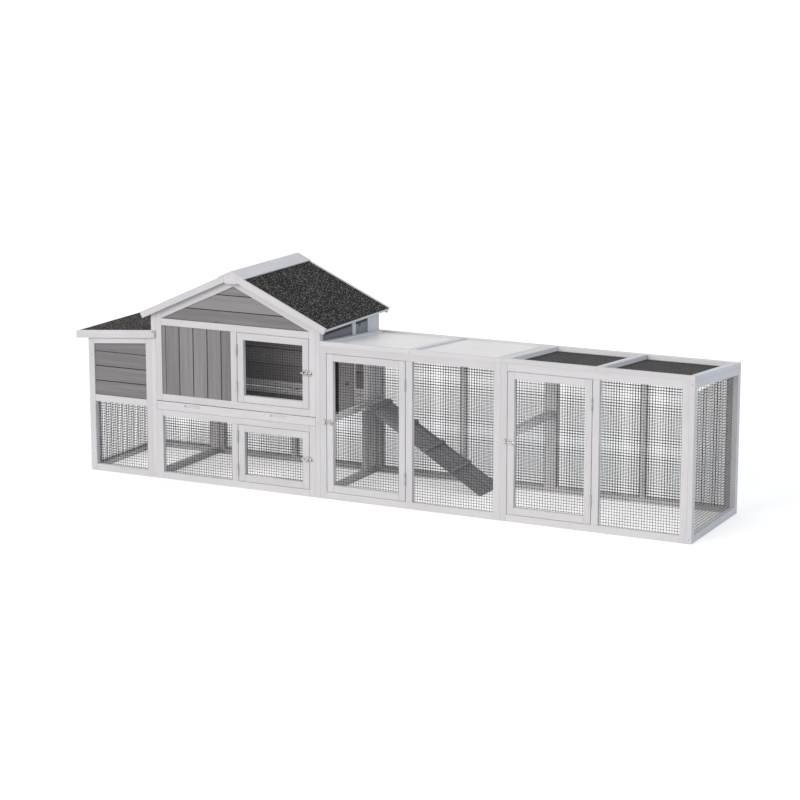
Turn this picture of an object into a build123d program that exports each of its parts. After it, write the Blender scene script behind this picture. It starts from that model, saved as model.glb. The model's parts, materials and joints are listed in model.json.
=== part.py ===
from build123d import *
import math
import os

# Chicken coop with a nest box on its left and a two-part run on its right.
# Millimetres. X runs along the coop, Y from its front to its back, Z up.
# While the pieces are drawn, X is 0 at the joint of house and run, and Y is 0
# at the front faces. They are moved together at the end, so that the origin
# lies at the middle of the base.

# Overall sizes
house_length = 833.0
nest_length = 327.0
run_module_length = 834.4
run_module_count = 2
depth = 551.0
ridge_height = 950.0
run_front_height = 680.0
run_back_height = 640.0

# Timber
timber = 22.0
face = 30.0
plank_thickness = 12.0
plank_recess = 5.0
groove = 3.0

# House
house_doorway = 352.0
lower_frame_height = 310.0
lower_top_rail = 27.0
tray_slot = 40.0
header_below_ridge = 235.0
floor_rail_rise = 28.0
wall_top_rail = 30.0
upper_plank_width = 70.0
upper_plank_first = 17.0
wall_plank_width = 72.0
gable_plank_one = 55.0
gable_plank_two = 70.0
rafter_depth = 42.0

# Roof of the house
roof_slope = 24.4
roof_board = 12.0
felt = 3.0
ridge_cap_thickness = 6.0
ridge_cap_width = 61.0
roof_slope_length = 494.5
roof_overhang = 12.0
bargeboard = 12.0
bargeboard_depth = 28.0
bargeboard_lip = 2.4
apex_plate_half_width = 32.0
apex_plate_corner = 8.0
apex_plate_drop = 6.0

# Tray under the upper room
tray_front_thickness = 16.0
tray_front_lift = 1.0
tray_front_top_gap = 3.0
tray_side_gap = 1.0
tray_board = 12.0
tray_board_height = 26.0
tray_floor_sheet = 3.0
tray_back_gap = 2.0
tray_travel = 380.0
slide_clearance = 0.3
runner_width = 15.0
runner_height = 14.0
finger_slot_length = 78.0
finger_slot_height = 9.0
finger_slot_depth = 7.0
finger_slot_drop = 7.0
finger_slot_inset = 142.0

# Way from the upper room to the run
pop_opening_from_back = 108.0
pop_opening_width = 113.0
pop_opening_height = 222.0
pop_guide_rise = 4.0
pop_door_thickness = 8.0
pop_door_lap = 16.0
pop_door_parked_gap = 9.0
pop_guide_wall = 3.0
pop_guide_lip = 7.0
pop_knob_radius = 9.0
pop_knob_length = 14.0
lower_post_from_back = 126.0

# Nest box
nest_floor_rise = 8.0
nest_top_rail = 46.0
nest_floor_thickness = 9.0
nest_plank_first = 64.0
nest_plank_width = 66.0
nest_lid_below_ridge = 336.0
nest_lid_slope = 4.63
nest_lid_overhang = 54.0
nest_lid_board = 9.0
nest_lid_wall_gap = 8.0
nest_fascia_depth = 33.0
nest_fascia_drop = 19.0
nest_fascia_run_on = 21.0
lid_pin_inset = 11.0
lid_pin_rise = 9.25
lid_pin_radius = 3.0
lid_pin_fit = 0.05
lid_pin_head_radius = 5.0
lid_pin_head = 3.0
lid_pin_depth = 15.0
lid_opening_angle = 45.0

# Run
run_doorway = 374.0
run_top_frame = 20.0
run_sheet = 4.0
run_sheet_recess = 7.0
perch_drop = 7.0

# Wire mesh, drawn as a coarse grid with the outline of the real panel
mesh_gauge = 2.0
mesh_bar = 4.0
mesh_cell = 90.0
mesh_lap = 8.0
mesh_edge_gap = 2.0

# Doors
door_gap = 1.5
latch_gap = 2.0
hinge_gap = 2.4
upper_door_rail = 30.0
lower_door_rail = 30.0
door_stile = 30.0
lower_door_stile = 32.0
door_opening_angle = 110.0

# Butt hinges
hinge_length = 52.0
hinge_leaf = 1.1
hinge_leaf_depth = 18.0
hinge_axis_out = 3.6
knuckle_radius = 3.0
hinge_pin_radius = 1.3
hinge_pin_clearance = 0.1
hinge_knuckle_gap = 0.4
upper_hinge_inset_bottom = 66.0
upper_hinge_inset_top = 80.0
lower_hinge_inset = 53.0
run_hinge_inset_top = 102.0
run_hinge_inset_bottom = 98.0

# Barrel bolts
bolt_seat_length = 26.0
bolt_seat_height = 28.0
bolt_seat_thickness = 1.2
bolt_strap_length = 5.0
bolt_strap_radius = 4.5
bolt_radius = 2.5
bolt_clearance = 0.2
bolt_axis_out = 6.0
bolt_length = 36.0
bolt_set_back = 3.0
bolt_tip_inset = 1.0
bolt_travel = 10.0
bolt_knob_stem = 2.4
bolt_knob_radius = 4.2
bolt_knob_head = 3.5
bolt_knob_reach = 9.5
keeper_set_back = 1.5
keeper_length = 11.0
upper_bolt_rise = 157.0
lower_bolt_rise = 133.0
run_bolt_rise = 305.0

# Landing and ramp
landing_length = 52.0
landing_thickness = 12.0
landing_width = 225.0
ramp_width = 190.0
ramp_thickness = 10.0
ramp_length = 636.0
ramp_from_back = 33.0
ramp_top_gap = 2.0
ramp_pivot_out = 10.0
ramp_pivot_drop = 7.0
ramp_pin_radius = 2.5
ramp_pin_depth = 12.0
ramp_pin_end_gap = 1.0
ramp_bracket = 2.0
ramp_bracket_height = 16.0
ramp_bracket_foot = 6.0
ramp_bracket_gap = 0.5
ramp_cleat_width = 18.0
ramp_cleat_height = 9.0
ramp_cleat_pitch = 150.0
ramp_cleat_count = 4
ramp_cleat_inset = 10.0
ramp_opening_angle = 50.0

# Screw heads
screw_radius = 3.2
screw_head = 0.8
coach_bolt_radius = 4.5

# Places that follow from these sizes
house_left = -house_length
house_middle = -house_length / 2
wall_inner_left = house_left + timber
wall_inner_right = -timber
nest_left = house_left - nest_length
run_length = run_module_length * run_module_count
back_inner = depth - timber
middle_stile_right = wall_inner_right - face - house_doorway
middle_stile_left = middle_stile_right - face
roof_angle = math.radians(roof_slope)
roof_tan = math.tan(roof_angle)
roof_cos = math.cos(roof_angle)
roof_sin = math.sin(roof_angle)
roof_layers = roof_board + felt + ridge_cap_thickness
roof_apex = ridge_height - roof_layers / roof_cos
lid_tan = math.tan(math.radians(nest_lid_slope))
lid_left = nest_left - nest_lid_overhang
run_fall = (run_front_height - run_back_height) / depth
run_pitch = math.atan(run_fall)
tray_base = lower_frame_height + slide_clearance
tray_front_height = tray_slot - tray_front_lift - tray_front_top_gap
upper_frame_base = lower_frame_height + tray_slot
wall_floor_rail_top = lower_frame_height + floor_rail_rise
nest_mid_rail_top = wall_floor_rail_top + nest_floor_rise
perch_base = wall_floor_rail_top - perch_drop
pop_opening_top = wall_floor_rail_top + pop_opening_height
lower_post_start = depth - lower_post_from_back
landing_start = back_inner - mesh_gauge - landing_width
header_top = ridge_height - header_below_ridge
nest_lid_low = ridge_height - nest_lid_below_ridge
lower_frame_opening = lower_frame_height - lower_top_rail

# Planes of the walls, with local x along the wall, local y up and the normal outwards
front_plane = Plane(origin=(0, 0, 0), x_dir=(1, 0, 0), z_dir=(0, -1, 0))
back_plane = Plane(origin=(0, 0, 0), x_dir=(-1, 0, 0), z_dir=(0, 1, 0))
right_plane = Plane(origin=(0, 0, 0), x_dir=(0, 1, 0), z_dir=(1, 0, 0))
left_plane = Plane(origin=(0, 0, 0), x_dir=(0, -1, 0), z_dir=(-1, 0, 0))

nodes = {}


def roof_under(x):
    """Height of the underside of the house roof at a place along X."""
    return roof_apex - roof_tan * abs(x - house_middle)


def lid_under(x):
    """Height of the underside of the nest lid at a place along X."""
    return nest_lid_low + lid_tan * (x - lid_left)


def run_top(y):
    """Height of the top of the run at a place along Y."""
    return run_front_height - run_fall * y


def run_under(y):
    """Height at which the run's top frame rests on its walls."""
    return run_top(y) - run_top_frame


def timber_box(x0, x1, y0, y1, z0, z1):
    """Square timber between two opposite corners."""
    return Pos(x0, y0, z0) * Box(x1 - x0, y1 - y0, z1 - z0, align=(Align.MIN, Align.MIN, Align.MIN))


def along_y(points, y0, y1):
    """An outline of X and Z points, run from y0 to y1."""
    plane = Plane(origin=(0, y0, 0), x_dir=(1, 0, 0), z_dir=(0, -1, 0))
    return extrude(plane * Polygon(*points, align=None), y1 - y0, dir=(0, 1, 0))


def along_x(points, x0, x1):
    """An outline of Y and Z points, run from x0 to x1."""
    plane = Plane(origin=(x0, 0, 0), x_dir=(0, 1, 0), z_dir=(1, 0, 0))
    return extrude(plane * Polygon(*points, align=None), x1 - x0, dir=(1, 0, 0))


def seams(start, first, pitch, end):
    """Places of the joints between boards of one width."""
    places = [start + first]
    while places[-1] + pitch < end:
        places.append(places[-1] + pitch)
    return places


def planks(plane, outline, joints, upright, level):
    """Boards that fill an outline, with a V groove along each joint on the outer face."""
    sheet = Polygon(*outline, align=None)
    box = sheet.bounding_box()
    if upright:
        ends = (box.min.X, box.max.X)
    else:
        ends = (box.min.Y, box.max.Y)
    inner = [place for place in joints if ends[0] < place < ends[1]]
    edges = [ends[0]] + inner + [ends[1]]
    reach = 2 * max(box.size.X, box.size.Y)
    middle = box.center()
    boards = []
    for start, end in zip(edges, edges[1:]):
        if upright:
            band = Pos((start + end) / 2, middle.Y) * Rectangle(end - start, reach)
        else:
            band = Pos(middle.X, (start + end) / 2) * Rectangle(reach, end - start)
        board = extrude(Pos(0, 0, level - plank_thickness) * (sheet & band), plank_thickness, dir=(0, 0, 1))
        for place in inner:
            if place in (start, end):
                if upright:
                    cutter = Pos(place, middle.Y, level) * Rot(0, 45, 0) * Box(groove, reach, groove)
                else:
                    cutter = Pos(middle.X, place, level) * Rot(45, 0, 0) * Box(reach, groove, groove)
                board = board - cutter
        boards.append(plane * board)
    return boards


def mesh_sheet(plane, x0, x1, y0, y1, level):
    """A panel of welded mesh, as one flat holed sheet whose outer face lies at the level."""
    width = x1 - x0
    height = y1 - y0
    across = max(2, round((width - mesh_bar) / mesh_cell))
    up = max(2, round((height - mesh_bar) / mesh_cell))
    pitch_x = (width - mesh_bar) / across
    pitch_y = (height - mesh_bar) / up
    holes = GridLocations(pitch_x, pitch_y, across, up) * Rectangle(pitch_x - mesh_bar, pitch_y - mesh_bar)
    sheet = extrude(Rectangle(width, height) - holes, mesh_gauge)
    return plane * Pos((x0 + x1) / 2, (y0 + y1) / 2, level - mesh_gauge) * sheet


def keep(name, *solids):
    """Put one sub-part's solids under its name."""
    pieces = []
    for item in solids:
        if isinstance(item, (list, tuple)):
            pieces.extend(item)
        else:
            pieces.append(item)
    nodes[name] = pieces


# House: front frame in two tiers, with the tray between them
def house_gable_stile(x0, x1, y0, y1, base):
    """A stile whose head is cut to the slope of the roof."""
    return along_y([(x0, base), (x1, base), (x1, roof_under(x1)), (x0, roof_under(x0))], y0, y1)


stile_inner_left = wall_inner_left + face
stile_inner_right = wall_inner_right - face


def house_front_frame():
    lower = [
        timber_box(wall_inner_left, stile_inner_left, 0, timber, 0, lower_frame_height),
        timber_box(stile_inner_right, wall_inner_right, 0, timber, 0, lower_frame_height),
        timber_box(stile_inner_left, stile_inner_right, 0, timber, 0, face),
        timber_box(stile_inner_left, stile_inner_right, 0, timber, lower_frame_opening, lower_frame_height),
        timber_box(middle_stile_left, middle_stile_right, 0, timber, face, lower_frame_opening),
    ]
    rail_top = upper_frame_base + face
    upper = [
        house_gable_stile(wall_inner_left, stile_inner_left, 0, timber, upper_frame_base),
        house_gable_stile(stile_inner_right, wall_inner_right, 0, timber, upper_frame_base),
        timber_box(stile_inner_left, stile_inner_right, 0, timber, upper_frame_base, rail_top),
        timber_box(stile_inner_left, stile_inner_right, 0, timber, header_top - face, header_top),
        timber_box(middle_stile_left, middle_stile_right, 0, timber, rail_top, header_top - face),
    ]
    return lower + upper


def house_back_frame():
    floor_rail_base = wall_floor_rail_top
    return [
        house_gable_stile(wall_inner_left, stile_inner_left, back_inner, depth, 0),
        house_gable_stile(stile_inner_right, wall_inner_right, back_inner, depth, 0),
        timber_box(stile_inner_left, stile_inner_right, back_inner, depth, 0, face),
        timber_box(stile_inner_left, stile_inner_right, back_inner, depth,
                   floor_rail_base, floor_rail_base + face),
        timber_box(stile_inner_left, stile_inner_right, back_inner, depth, header_top - face, header_top),
        timber_box(middle_stile_left, middle_stile_right, back_inner, depth, face, floor_rail_base),
    ]


def side_wall_head(x0, x1, y0, y1, base):
    """A piece of a side wall that reaches up to the sloping roof."""
    return along_y([(x0, base), (x1, base), (x1, roof_under(x1)), (x0, roof_under(x0))], y0, y1)


wall_head_base = roof_under(0) - wall_top_rail
pop_opening_end = depth - pop_opening_from_back
pop_opening_start = pop_opening_end - pop_opening_width
pin_axis_x = house_left + lid_pin_inset
lid_pin_height = lid_under(pin_axis_x) + lid_pin_rise


def side_wall_posts(x0, x1):
    return [side_wall_head(x0, x1, 0, face, 0), side_wall_head(x0, x1, depth - face, depth, 0)]


def side_wall_rails(x0, x1):
    return [
        timber_box(x0, x1, face, depth - face, 0, face),
        timber_box(x0, x1, face, depth - face, wall_floor_rail_top - face, wall_floor_rail_top),
        side_wall_head(x0, x1, face, depth - face, wall_head_base),
    ]


def lid_pin_bore(y0, y1, radius):
    """A round bore on the lid's turning line."""
    rod = Cylinder(radius, y1 - y0, align=(Align.CENTER, Align.CENTER, Align.MIN))
    return Pos(pin_axis_x, y0, lid_pin_height) * Rot(-90, 0, 0) * rod


def house_left_frame():
    bore = lid_pin_radius + lid_pin_fit
    posts = [
        side_wall_posts(house_left, wall_inner_left)[0] - lid_pin_bore(0, lid_pin_depth, bore),
        side_wall_posts(house_left, wall_inner_left)[1] - lid_pin_bore(depth - lid_pin_depth, depth, bore),
    ]
    rails = side_wall_rails(house_left, wall_inner_left)
    nest_header = timber_box(house_left, wall_inner_left, face, depth - face,
                             nest_header_base, nest_header_base + face)
    return posts + rails + [nest_header]


nest_header_base = lid_under(house_left) - face


def house_right_frame():
    rails = side_wall_rails(wall_inner_right, 0)
    openings = [
        timber_box(wall_inner_right, 0, pop_opening_start - face, pop_opening_start,
                   wall_floor_rail_top, wall_head_base),
        timber_box(wall_inner_right, 0, pop_opening_end, depth - face,
                   wall_floor_rail_top, wall_head_base),
        timber_box(wall_inner_right, 0, pop_opening_start, pop_opening_end,
                   pop_opening_top, pop_opening_top + face),
        timber_box(wall_inner_right, 0, lower_post_start, lower_post_start + face,
                   face, wall_floor_rail_top - face),
    ]
    return side_wall_posts(wall_inner_right, 0) + rails + openings


def gable_outline():
    """The triangle between the header rail and the rafters."""
    top = roof_apex - rafter_depth / roof_cos
    half = min(house_middle - stile_inner_left, (top - header_top) / roof_tan)
    foot = max(top - half * roof_tan, header_top)
    return [(house_middle - half, header_top), (house_middle + half, header_top),
            (house_middle + half, foot), (house_middle, top), (house_middle - half, foot)]


def mirrored(outline):
    """An outline as the back wall's plane reads it."""
    return [(-x, z) for x, z in reversed(outline)]


def rectangle(x0, x1, z0, z1):
    return [(x0, z0), (x1, z0), (x1, z1), (x0, z1)]


def house_planks():
    left_panel = rectangle(stile_inner_left, middle_stile_left, upper_frame_base + face, header_top - face)
    joints = seams(stile_inner_left, upper_plank_first, upper_plank_width, middle_stile_left)
    keep("house_front_planks", planks(front_plane, left_panel, joints, True, -plank_recess))
    back_panel = rectangle(stile_inner_left, stile_inner_right, wall_floor_rail_top + face, header_top - face)
    joints = seams(wall_floor_rail_top + face, wall_plank_width, wall_plank_width, header_top - face)
    keep("house_back_planks", planks(back_plane, mirrored(back_panel), joints, False, depth - plank_recess))
    gable_joints = [header_top + gable_plank_one, header_top + gable_plank_one + gable_plank_two]
    front = planks(front_plane, gable_outline(), gable_joints, False, -plank_recess)
    back = planks(back_plane, mirrored(gable_outline()), gable_joints, False, depth - plank_recess)
    keep("gable_planks", front, back)


def side_planks():
    joints = seams(wall_floor_rail_top, wall_plank_width, wall_plank_width, wall_head_base)
    front_part = rectangle(face, pop_opening_start - face, wall_floor_rail_top, wall_head_base)
    over_opening = rectangle(pop_opening_start, pop_opening_end, pop_opening_top + face, wall_head_base)
    right = planks(right_plane, front_part, joints, False, -plank_recess)
    right += planks(right_plane, over_opening, joints, False, -plank_recess)
    keep("house_right_planks", right)
    over_nest = rectangle(-(depth - face), -face, nest_header_base + face, wall_head_base)
    keep("house_left_planks", planks(left_plane, over_nest, [], False, house_length - plank_recess))


def rafters():
    """White rafters between the gable boards and the bargeboards, plumb at the ridge."""
    drop = rafter_depth / roof_cos
    pieces = []
    for y0, y1 in ((0, timber), (back_inner, depth)):
        for foot in (stile_inner_left, stile_inner_right):
            outline = [(foot, roof_under(foot) - drop), (house_middle, roof_apex - drop),
                       (house_middle, roof_apex), (foot, roof_under(foot))]
            pieces.append(along_y(outline, y0, y1))
    return pieces


# Roof: layers are given by their distance, square to the slope, from the roof's underside
def slope_point(side, along, out):
    """A point on one slope, from the ridge down and outwards, as X and Z."""
    x = along * roof_cos + out * roof_sin
    return (house_middle + side * x, roof_apex - along * roof_sin + out * roof_cos)


def roof_layer(side, low, high, length, y0, y1):
    """A board on one slope, plumb at the ridge and square at its lower end."""
    outline = [(house_middle, roof_apex + low / roof_cos), slope_point(side, length, low),
               slope_point(side, length, high), (house_middle, roof_apex + high / roof_cos)]
    return along_y(outline, y0, y1)


felt_top = roof_board + felt
barge_top = felt_top + bargeboard_lip
roof_front = -roof_overhang
roof_back = depth + roof_overhang
barge_front = roof_front - bargeboard
barge_back = roof_back + bargeboard


def ridge_cap():
    high = felt_top + ridge_cap_thickness
    return [roof_layer(side, felt_top, high, ridge_cap_width, barge_front, barge_back) for side in (-1, 1)]


def apex_plate(y0, y1):
    """The small board that closes the joint of two bargeboards."""
    half = apex_plate_half_width
    under = barge_top - bargeboard_depth
    side_low = roof_apex + under / roof_cos - half * roof_tan
    side_high = roof_apex + felt_top / roof_cos - half * roof_tan
    outline = [(house_middle, roof_apex + felt_top / roof_cos),
               (house_middle - half, side_high), (house_middle - half, side_low),
               (house_middle - half + apex_plate_corner, side_low - apex_plate_drop),
               (house_middle + half - apex_plate_corner, side_low - apex_plate_drop),
               (house_middle + half, side_low), (house_middle + half, side_high)]
    return along_y(outline, y0, y1)


def bargeboards():
    low = barge_top - bargeboard_depth
    cap = ridge_cap()
    pieces = []
    for y0, y1 in ((barge_front, roof_front), (roof_back, barge_back)):
        plate = apex_plate(y0, y1)
        reach = timber_box(house_middle - apex_plate_half_width, house_middle + apex_plate_half_width,
                           y0, y1, 0, 2 * ridge_height)
        pieces.append(plate)
        for side in (-1, 1):
            board = roof_layer(side, low, barge_top, roof_slope_length, y0, y1)
            board = board - reach
            pieces.append(board - cap[(side + 1) // 2])
    return pieces


# Tray: a white front board with side and back boards around a floor sheet, on two runners
tray_left = wall_inner_left + tray_side_gap
tray_right = wall_inner_right - tray_side_gap
tray_back = back_inner - mesh_gauge - tray_back_gap


def tray_front():
    base = lower_frame_height + tray_front_lift
    top = base + tray_front_height
    board = timber_box(tray_left, tray_right, 0, tray_front_thickness, base, top)
    for end in (stile_inner_left - face + finger_slot_inset, stile_inner_right + face - finger_slot_inset):
        start = end if end < house_middle else end - finger_slot_length
        slot = timber_box(start, start + finger_slot_length, -1, finger_slot_depth,
                          top - finger_slot_drop - finger_slot_height, top - finger_slot_drop)
        board = board - slot
    return board


def tray_boards():
    top = tray_base + tray_board_height
    return [
        timber_box(tray_left, tray_left + tray_board, tray_front_thickness, tray_back, tray_base, top),
        timber_box(tray_right - tray_board, tray_right, tray_front_thickness, tray_back, tray_base, top),
        timber_box(tray_left + tray_board, tray_right - tray_board, tray_back - tray_board, tray_back,
                   tray_base, top),
    ]


def tray_floor():
    return timber_box(tray_left + tray_board, tray_right - tray_board, tray_front_thickness,
                      tray_back - tray_board, tray_base, tray_base + tray_floor_sheet)


def tray_runners():
    top = lower_frame_height
    return [
        timber_box(wall_inner_left, wall_inner_left + runner_width, timber + mesh_gauge, back_inner,
                   top - runner_height, top),
        timber_box(wall_inner_right - runner_width, wall_inner_right, timber + mesh_gauge, back_inner,
                   top - runner_height, top),
    ]


# Sliding pop door in two grooved guides on the run side of the wall
pop_door_width = pop_opening_width + 2 * pop_door_lap
pop_door_start = pop_opening_start - face - pop_door_parked_gap - pop_door_width
pop_door_travel = pop_opening_start - pop_door_lap - pop_door_start
pop_groove = pop_door_thickness + 2 * slide_clearance
pop_guide_depth = pop_groove + 2 * pop_guide_wall
pop_guide_height = pop_guide_wall + pop_guide_lip
pop_floor = wall_floor_rail_top
pop_guide_top_base = pop_opening_top + pop_guide_rise


def pop_guides():
    """A lower and an upper grooved strip, in which the pop door runs."""
    y0 = pop_door_start - pop_guide_lip
    y1 = pop_opening_end + pop_door_lap + pop_guide_lip
    inner = pop_guide_wall
    outer = pop_guide_wall + pop_groove
    low, web, high = pop_floor, pop_floor + pop_guide_wall, pop_floor + pop_guide_height
    lower = [(0, low), (pop_guide_depth, low), (pop_guide_depth, high), (outer, high),
             (outer, web), (inner, web), (inner, high), (0, high)]
    low, web, high = (pop_guide_top_base, pop_guide_top_base + pop_guide_lip,
                      pop_guide_top_base + pop_guide_height)
    upper = [(0, low), (inner, low), (inner, web), (outer, web),
             (outer, low), (pop_guide_depth, low), (pop_guide_depth, high), (0, high)]
    return [along_y(lower, y0, y1), along_y(upper, y0, y1)]


def pop_door():
    x0 = pop_guide_wall + slide_clearance
    base = pop_floor + pop_guide_wall + slide_clearance
    top = pop_guide_top_base + pop_guide_lip - slide_clearance
    panel = timber_box(x0, x0 + pop_door_thickness, pop_door_start, pop_door_start + pop_door_width, base, top)
    profile = Polygon((0, 0), (0.5 * pop_knob_radius, 0), (0.5 * pop_knob_radius, 0.4 * pop_knob_length),
                      (pop_knob_radius, 0.7 * pop_knob_length), (0.7 * pop_knob_radius, pop_knob_length),
                      (0, pop_knob_length), align=None)
    knob = revolve(Plane.XZ * profile, Axis.Z)
    place = Pos(x0 + pop_door_thickness, pop_door_start + pop_door_width / 2, (base + top) / 2)
    return [panel, place * Rot(0, 90, 0) * knob]


# Nest box
nest_inner_left = nest_left + timber


def sloped_head(x0, x1, y0, y1, base):
    """A nest timber whose head is cut to the lid."""
    return along_y([(x0, base), (x1, base), (x1, lid_under(x1)), (x0, lid_under(x0))], y0, y1)


def nest_face_frame(y0, y1):
    """Front or back frame of the nest box."""
    inner0 = nest_left + face
    inner1 = house_left - face
    rail = [(inner0, lid_under(inner0) - nest_top_rail), (inner1, lid_under(inner1) - nest_top_rail),
            (inner1, lid_under(inner1)), (inner0, lid_under(inner0))]
    return [
        sloped_head(nest_left, inner0, y0, y1, 0),
        sloped_head(inner1, house_left, y0, y1, 0),
        timber_box(inner0, inner1, y0, y1, 0, face),
        timber_box(inner0, inner1, y0, y1, nest_mid_rail_top - face, nest_mid_rail_top),
        along_y(rail, y0, y1),
    ]


def nest_left_frame():
    x0, x1 = nest_left, nest_inner_left
    y0, y1 = timber + face, back_inner - face
    rail_low = [(x0, lid_under(x0) - nest_top_rail), (x1, lid_under(x0) - nest_top_rail),
                (x1, lid_under(x1)), (x0, lid_under(x0))]
    return [
        sloped_head(x0, x1, timber, y0, 0),
        sloped_head(x0, x1, y1, back_inner, 0),
        timber_box(x0, x1, y0, y1, 0, face),
        timber_box(x0, x1, y0, y1, nest_mid_rail_top - face, nest_mid_rail_top),
        along_y(rail_low, y0, y1),
    ]


def nest_planks():
    inner0 = nest_left + face
    inner1 = house_left - face
    outline = [(inner0, nest_mid_rail_top), (inner1, nest_mid_rail_top),
               (inner1, lid_under(inner1) - nest_top_rail), (inner0, lid_under(inner0) - nest_top_rail)]
    joints = seams(nest_mid_rail_top, nest_plank_first, nest_plank_width, lid_under(inner1) - nest_top_rail)
    front = planks(front_plane, outline, joints, False, -plank_recess)
    back = planks(back_plane, mirrored(outline), joints, False, depth - plank_recess)
    side = rectangle(-(back_inner - face), -(timber + face), nest_mid_rail_top,
                     lid_under(nest_left) - nest_top_rail)
    left = planks(left_plane, side, joints, False, -nest_left - plank_recess)
    return front + back + left


def nest_mesh():
    low = face - mesh_lap
    high = nest_mid_rail_top - face + mesh_lap
    x0 = nest_inner_left + mesh_gauge
    x1 = house_left - face + mesh_lap
    front = mesh_sheet(front_plane, x0, x1, low, high, -timber)
    back = mesh_sheet(back_plane, -x1, -x0, low, high, back_inner)
    y0 = timber + face - mesh_lap
    y1 = back_inner - face + mesh_lap
    left = mesh_sheet(left_plane, -y1, -y0, low, high, -nest_inner_left)
    return [front, back, left]


def nest_floor():
    top = nest_mid_rail_top
    return timber_box(nest_inner_left, house_left, timber, back_inner, top - nest_floor_thickness, top)


lid_right = house_left - nest_lid_wall_gap
lid_front = roof_front
lid_back = roof_back
nest_fascia_low = nest_lid_low - nest_fascia_drop


def lid_layer(low, high):
    """A sheet of the nest lid, parallel to its slope."""
    outline = [(lid_left, nest_lid_low + low), (lid_right, lid_under(lid_right) + low),
               (lid_right, lid_under(lid_right) + high), (lid_left, nest_lid_low + high)]
    return along_y(outline, 0, depth)


def nest_lid_fascia():
    """White boards on the lid's front and back edges, which turn on the two lid pins."""
    end = house_left + nest_fascia_run_on
    rise = lid_tan * (end - lid_left)
    low = nest_fascia_low
    outline = [(lid_left, low), (end, low + rise), (end, low + rise + nest_fascia_depth),
               (lid_left, low + nest_fascia_depth)]
    pieces = []
    for y0, y1 in ((lid_front - slide_clearance, -slide_clearance),
                   (depth + slide_clearance, lid_back + slide_clearance)):
        pieces.append(along_y(outline, y0, y1) - lid_pin_bore(y0 - 1, y1 + 1, lid_pin_radius + slide_clearance))
    return pieces


def nest_lid_pins():
    """Pivot bolts through the fascias into the corner posts of the house."""
    front = lid_pin_bore(lid_front - slide_clearance * 2, lid_pin_depth, lid_pin_radius)
    front_head = lid_pin_bore(lid_front - slide_clearance * 2 - lid_pin_head,
                              lid_front - slide_clearance * 2, lid_pin_head_radius)
    back = lid_pin_bore(depth - lid_pin_depth, lid_back + slide_clearance * 2, lid_pin_radius)
    back_head = lid_pin_bore(lid_back + slide_clearance * 2,
                             lid_back + slide_clearance * 2 + lid_pin_head, lid_pin_head_radius)
    return [front + front_head, back + back_head]


# Run
def run_upright(x0, x1, y0, y1, base):
    """A run timber whose head is cut to the fall of the run's roof."""
    return along_x([(y0, base), (y1, base), (y1, run_under(y1)), (y0, run_under(y0))], x0, x1)


def module_start(index):
    return index * run_module_length


def module_end(index):
    """The last module's walls stop against the end panel."""
    if index == run_module_count - 1:
        return run_length - timber
    return (index + 1) * run_module_length


def door_end(index):
    return module_start(index) + face + run_doorway


front_rail_base = run_front_height - run_top_frame - face
back_rail_base = run_back_height - run_top_frame - face


def run_face_frame(index, y0, y1, rail_base):
    """Front or back frame of one module, with a doorway bay and a mesh bay."""
    start, end = module_start(index), module_end(index)
    middle = door_end(index)
    return [
        run_upright(start, start + face, y0, y1, 0),
        run_upright(end - face, end, y0, y1, 0),
        timber_box(start + face, end - face, y0, y1, 0, face),
        run_upright(start + face, end - face, y0, y1, rail_base),
        timber_box(middle, middle + face, y0, y1, face, rail_base),
    ]


def run_end_posts():
    x0, x1 = run_length - timber, run_length
    return [
        run_upright(x0, x1, 0, face, 0),
        run_upright(x0, x1, depth - face, depth, 0),
    ]


def run_end_rails():
    x0, x1 = run_length - timber, run_length
    rail = [(face, run_under(face) - face), (depth - face, run_under(depth - face) - face),
            (depth - face, run_under(depth - face)), (face, run_under(face))]
    return [
        timber_box(x0, x1, face, depth - face, 0, face),
        along_x(rail, x0, x1),
    ]


def top_bar(x0, x1, y0, y1):
    """A bar of the run's top frame, which falls to the back."""
    outline = [(y0, run_under(y0)), (y1, run_under(y1)), (y1, run_top(y1)), (y0, run_top(y0))]
    return along_x(outline, x0, x1)


def run_top_frames():
    pieces = []
    for index in range(run_module_count):
        start = module_start(index)
        end = start + run_module_length
        pieces += [
            top_bar(start, end, 0, face),
            top_bar(start, end, depth - face, depth),
            top_bar(start, start + face, face, depth - face),
            top_bar(door_end(index), door_end(index) + face, face, depth - face),
            top_bar(end - face, end, face, depth - face),
        ]
    return pieces


def top_bays(index):
    """The two openings in the top frame of one module."""
    start = module_start(index)
    return [(start + face, door_end(index)), (door_end(index) + face, start + run_module_length - face)]


def run_top_sheets():
    """Rigid sheets let into the top frame of the module beside the house."""
    low = run_sheet_recess + run_sheet
    y0, y1 = face, depth - face
    pieces = []
    for x0, x1 in top_bays(0):
        outline = [(y0, run_top(y0) - low), (y1, run_top(y1) - low),
                   (y1, run_top(y1) - run_sheet_recess), (y0, run_top(y0) - run_sheet_recess)]
        pieces.append(along_x(outline, x0, x1))
    return pieces


def run_top_mesh():
    """Mesh under the top frame of the module away from the house."""
    plane = Plane(origin=(0, 0, run_under(0)), x_dir=(1, 0, 0),
                  z_dir=(0, math.sin(run_pitch), math.cos(run_pitch)))
    y0 = (face - mesh_lap + mesh_edge_gap) / math.cos(run_pitch)
    y1 = (depth - face + mesh_lap - mesh_edge_gap) / math.cos(run_pitch)
    pieces = []
    for index in range(1, run_module_count):
        for x0, x1 in top_bays(index):
            end = min(x1 + mesh_lap, run_length - timber - mesh_gauge)
            pieces.append(mesh_sheet(plane, x0 - mesh_lap, end, y0, y1, 0))
    return pieces


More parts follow.
